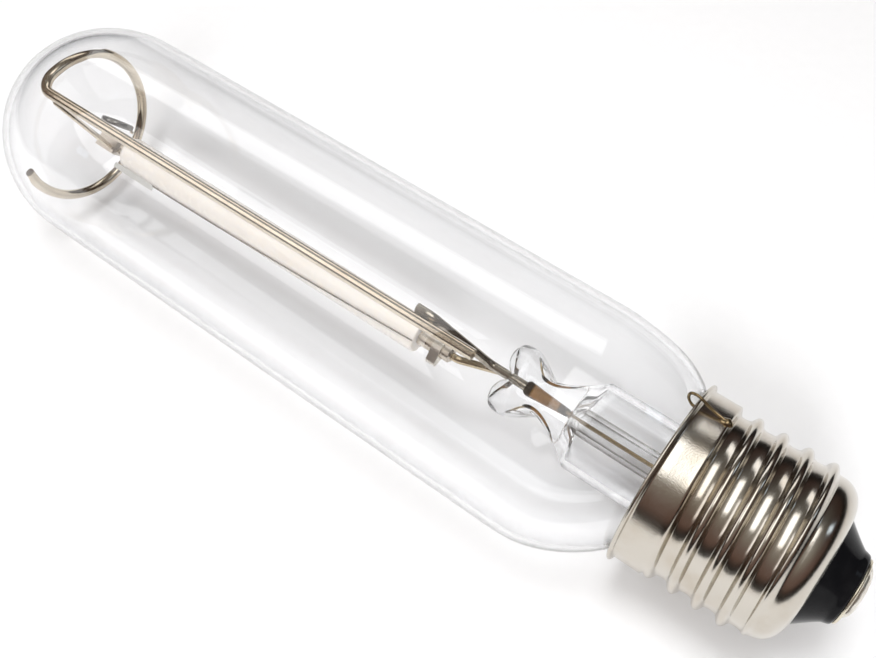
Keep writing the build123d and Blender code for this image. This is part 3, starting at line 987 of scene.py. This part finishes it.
def cap_material():
    """Nickel plate: satin with fine grain on the skirt, glossy and stained on the thread."""
    material, tree, output, place = new_material("nickel_cap")
    worn = handled(tree, place, (0.59, 0.555, 0.495), (0.5, 0.44, 0.36), 0.13, 0.22, 160.0, 4600.0)
    along = new_node(tree, "ShaderNodeSeparateXYZ", {"Vector": place}).outputs["X"]
    skirt_end = lying_x + skirt_length
    skirt = spread(tree, along, 1.0, 0.0, start=(skirt_end - 0.3) * MM, end=(skirt_end + 0.5) * MM)
    satin = spread(tree, worn["Height"], 0.14, 0.3)
    depth = spread(tree, skirt, 0.08, 0.5)
    height = combine(tree, worn["Height"], depth, "MULTIPLY")
    inputs = {
        "Base Color": worn["Colour"],
        "Roughness": blend(tree, skirt, worn["Roughness"], satin),
        "Normal": fine_relief(tree, height, 0.6, 0.05),
        "Metallic": 1.0,
    }
    tree.links.new(surface_shader(tree, inputs), output)
    return material


def seal_material():
    """Brown oxidised pin, dark at the weld in front and at its end in the stem."""
    material, tree, output, place = new_material("oxidised_seal")
    worn = handled(tree, place, (0.25, 0.115, 0.02), (0.13, 0.06, 0.012), 0.3, 0.45, 500.0, 3000.0)
    x = new_node(tree, "ShaderNodeSeparateXYZ", {"Vector": place}).outputs["X"]
    along = spread(tree, x, 0.0, 1.0, start=(lying_x - pin_front - 1) * MM, end=(lying_x - pin_back) * MM)
    plain = (1, 1, 1)
    stops = [(0.2, (0.06, 0.055, 0.05)), (0.25, plain), (0.8, plain), (0.86, (0.08, 0.07, 0.06))]
    inputs = {
        "Base Color": blend(tree, 1.0, worn["Colour"], colour_ramp(tree, along, stops), "MULTIPLY"),
        "Roughness": worn["Roughness"],
        "Metallic": 0.4,
    }
    tree.links.new(surface_shader(tree, inputs), output)
    return material


# The third colour of each glass is the painted shade at its edges
bulb_glass = glass_material("bulb_glass", (0.99, 0.992, 0.997), (0.1, 0.11, 0.13), 0.45, 0.05)
stem_glass = glass_material("stem_glass", (0.985, 0.988, 0.992), (0.2, 0.21, 0.22), 0.4, 0.08)
exhaust_glass = thin_glass_material("exhaust_glass")
bright_wire = metal_material("nickelled_wire", (0.66, 0.585, 0.47), (0.54, 0.45, 0.34), 0.1, 0.2)
lead_wire = metal_material(
    "grey_lead_wire", (0.42, 0.38, 0.32), (0.24, 0.21, 0.17), 0.08, 0.18, patch=300.0
)
getter_metal = metal_material(
    "getter_metal", (0.24, 0.235, 0.22), (0.12, 0.115, 0.11), 0.06, 0.14, bump=0.02
)
warm_wire = metal_material("warm_lead_wire", (0.66, 0.56, 0.4), (0.5, 0.4, 0.26), 0.14, 0.28)
brass_wire = metal_material(
    "brass_side_wire", (0.34, 0.26, 0.15), (0.16, 0.115, 0.065), 0.1, 0.22, patch=400.0
)
niobium = metal_material("niobium", (0.68, 0.62, 0.54), (0.55, 0.49, 0.42), 0.25, 0.4, bump=0.03)
tungsten = metal_material("tungsten", (0.2, 0.19, 0.18), (0.1, 0.1, 0.1), 0.3, 0.5)
ignition_metal = metal_material("ignition_metal", (0.3, 0.27, 0.24), (0.2, 0.18, 0.16), 0.2, 0.35)
strap_metal = metal_material("strap_metal", (0.78, 0.74, 0.67), (0.7, 0.65, 0.57), 0.3, 0.42, bump=0.02)
strip_metal = metal_material("strip_metal", (0.62, 0.63, 0.61), (0.52, 0.52, 0.5), 0.35, 0.5, bump=0.02)
contact_metal = metal_material(
    "contact_metal", (0.74, 0.69, 0.56), (0.6, 0.53, 0.4), 0.25, 0.4, patch=250.0
)
solder_metal = metal_material(
    "solder", (0.8, 0.77, 0.7), (0.66, 0.61, 0.52), 0.3, 0.45, patch=400.0, bump=0.06
)
seal_metal = seal_material()
nickel_cap = cap_material()
alumina = dull_material(
    "alumina", (0.79, 0.75, 0.7), (0.75, 0.705, 0.65), 0.2, 0.3, 60.0, glow=0.6, bump=0.01
)
black_glass = dull_material(
    "black_glass", (0.006, 0.006, 0.007), (0.012, 0.012, 0.013), 0.06, 0.12, 200.0, bump=0.01, shine=0.07
)
cement = dull_material("cement", (0.62, 0.56, 0.48), (0.42, 0.37, 0.3), 0.75, 0.95, 400.0)


def lay_down(piece):
    """Roll a piece with the mount, set it on the ground and keep its place in its mesh."""
    bpy.ops.object.select_all(action="DESELECT")
    piece.select_set(True)
    bpy.context.view_layer.objects.active = piece
    piece.rotation_euler = (math.radians(mount_roll), 0, 0)
    piece.location = (lying_x * MM, 0, lying_z * MM)
    bpy.ops.object.transform_apply(location=True, rotation=True, scale=True)


def set_piece(piece, node, material):
    """Put a finished piece in the place of a CAD node."""
    lay_down(piece)
    piece.data.materials.clear()
    piece.data.materials.append(material)
    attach(piece, "root")
    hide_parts(node)


def dress_node(name, material):
    """Give a CAD node that keeps its shape a better finish."""
    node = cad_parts[name]
    for slot in node.material_slots:
        slot.material = material


set_piece(make_outer_bulb(), "outer_bulb", bulb_glass)
set_piece(make_stem(), "stem_glass", stem_glass)
set_piece(make_exhaust(), "exhaust_tube", exhaust_glass)
set_piece(make_frame_wire(), "frame_wire", bright_wire)
set_piece(make_frame_lead(), "frame_lead", lead_wire)
set_piece(make_short_lead(), "short_lead", warm_wire)
set_piece(make_pin("frame_seal", 1), "frame_seal_pin", seal_metal)
set_piece(make_pin("short_seal", -1), "short_seal_pin", seal_metal)
set_piece(make_side_lead(), "side_lead", brass_wire)
set_piece(make_centre_lead(), "centre_lead", brass_wire)
set_piece(make_arc_tube(), "arc_tube", alumina)
set_piece(make_ignition_wire(), "ignition_wire", ignition_metal)
set_piece(make_far_strap(), "far_strap", bright_wire)
set_piece(make_getter(), "getter_ring", getter_metal)
set_piece(make_cap_shell(), "cap_shell", nickel_cap)
set_piece(make_insulator(), "cap_insulator", black_glass)
set_piece(make_contact(), "centre_contact", contact_metal)
set_piece(make_contact_solder(), "contact_solder", solder_metal)
set_piece(make_side_solder(), "side_solder", brass_wire)
dress_node("far_niobium_tube", niobium)
dress_node("near_niobium_tube", niobium)
dress_node("far_electrode", tungsten)
dress_node("near_electrode", tungsten)
dress_node("near_strap", strap_metal)
dress_node("ignition_strip", strip_metal)
dress_node("getter_wire", bright_wire)
dress_node("cap_cement", cement)


def make_floor():
    """Plain pale floor, a little mottled."""
    bpy.ops.object.select_all(action="DESELECT")
    bpy.ops.mesh.primitive_plane_add(size=0.9)
    piece = bpy.context.object
    piece.name = "pale_floor"
    material, tree, output, place = new_material("pale_floor")
    tone = blend(tree, mottle(tree, place, 400.0), (0.9, 0.91, 0.925, 1), (0.925, 0.935, 0.95, 1))
    tree.links.new(new_node(tree, "ShaderNodeBsdfDiffuse", {"Color": tone}).outputs["BSDF"], output)
    piece.data.materials.append(material)
    return piece


floor = make_floor()


def soft_lamp(name, place, aim, size, power, mirrored=True, colour=(1, 1, 1)):
    """Area lamp that looks at a point, in metres, and is mirrored in metal and glass or not."""
    bpy.ops.object.select_all(action="DESELECT")
    bpy.ops.object.light_add(type="AREA", location=place)
    lamp = bpy.context.object
    lamp.name = name
    lamp.data.shape = "RECTANGLE"
    lamp.data.size = size[0]
    lamp.data.size_y = size[1]
    lamp.data.energy = power
    lamp.data.color = colour
    way = Vector(aim) - Vector(place)
    lamp.rotation_euler = way.to_track_quat("-Z", "Y").to_euler()
    lamp.visible_glossy = mirrored
    lamp.visible_transmission = mirrored


# Large boxes are what the metal and glass mirror, small ones give the shadows their edges
soft_lamp("top_softbox", (0.09, -0.05, 0.46), aim=(0.09, -0.05, 0), size=(0.2, 0.38), power=0.53)
soft_lamp("left_softbox", (-0.37, -0.3, 0.5), aim=(-0.37, 0, 0.02), size=(0.38, 0.55), power=0.95)
soft_lamp("top_spot", (0, -0.05, 0.62), aim=(0, 0, 0), size=(0.18, 0.18), power=1.45, mirrored=False)
soft_lamp("front_spot", (0.2, -0.47, 0.45), aim=(0, 0, 0), size=(0.17, 0.17), power=1.95, mirrored=False)
soft_lamp("back_softbox", (-0.4, 0.56, 0.6), aim=(-0.25, 0, 0.02), size=(0.86, 0.26), power=1.15)
soft_lamp(
    "side_window", (0.55, 0.3, 0.45), aim=(0, 0, 0.02), size=(0.12, 0.2), power=0.12, colour=(0.7, 0.85, 1)
)


def make_studio():
    """World that is white to the camera, pale through the glass, and a dim room in mirrors."""
    world = bpy.data.worlds.new("studio")
    world.use_nodes = True
    tree = world.node_tree
    tree.nodes.clear()
    output = tree.nodes.new("ShaderNodeOutputWorld")
    white = (1, 1, 1, 1)
    way = tree.nodes.new("ShaderNodeTexCoord").outputs["Generated"]
    split = new_node(tree, "ShaderNodeSeparateXYZ", {"Vector": way}).outputs
    # The room is dark at the horizon, lighter overhead and darker again behind the lamp
    heights = [
        (0.0, (0.008, 0.007, 0.006)),
        (0.16, (0.02, 0.014, 0.011)),
        (0.34, (0.17, 0.105, 0.085)),
        (0.55, (0.19, 0.135, 0.115)),
        (0.75, (0.27, 0.235, 0.2)),
        (1.0, (0.42, 0.4, 0.36)),
    ]
    behind = spread(tree, split["Y"], 1.0, 0.3, start=-0.3, end=0.5)
    room = blend(tree, 1.0, colour_ramp(tree, split["Z"], heights), behind, "MULTIPLY")
    # Only what is seen straight through the glass is pale, not what is mirrored on the way
    path = tree.nodes.new("ShaderNodeLightPath").outputs
    straight = combine(tree, path["Glossy Depth"], 0.5, "LESS_THAN")
    through = combine(tree, path["Is Transmission Ray"], straight, "MULTIPLY")
    seen = blend(tree, through, room, blend(tree, 0.75, room, white))
    colour = blend(tree, path["Is Camera Ray"], seen, white)
    light = new_node(tree, "ShaderNodeBackground", {"Color": colour, "Strength": 1.0})
    tree.links.new(light.outputs["Background"], output.inputs["Surface"])
    return world


bpy.context.scene.world = make_studio()

# Camera, at the photograph's viewing angle
camera_place = Vector((0.05973, -0.06581, 0.14787))
camera_right = Vector((0.80080, 0.59893, 0.0))
camera_up = Vector((-0.50018, 0.66876, 0.55007))
camera_back = Vector((0.32945, -0.44050, 0.83512))
bpy.ops.object.camera_add()
camera = bpy.context.object
camera_turn = Matrix((camera_right, camera_up, camera_back)).transposed()
camera.matrix_world = Matrix.Translation(camera_place) @ camera_turn.to_4x4()
camera.data.sensor_width = 36.0
camera.data.lens = 42.13
camera.data.shift_x = -0.0036
camera.data.shift_y = -0.0033
camera.data.clip_start = 0.005
bpy.context.scene.camera = camera
bpy.context.scene.view_settings.view_transform = "Standard"
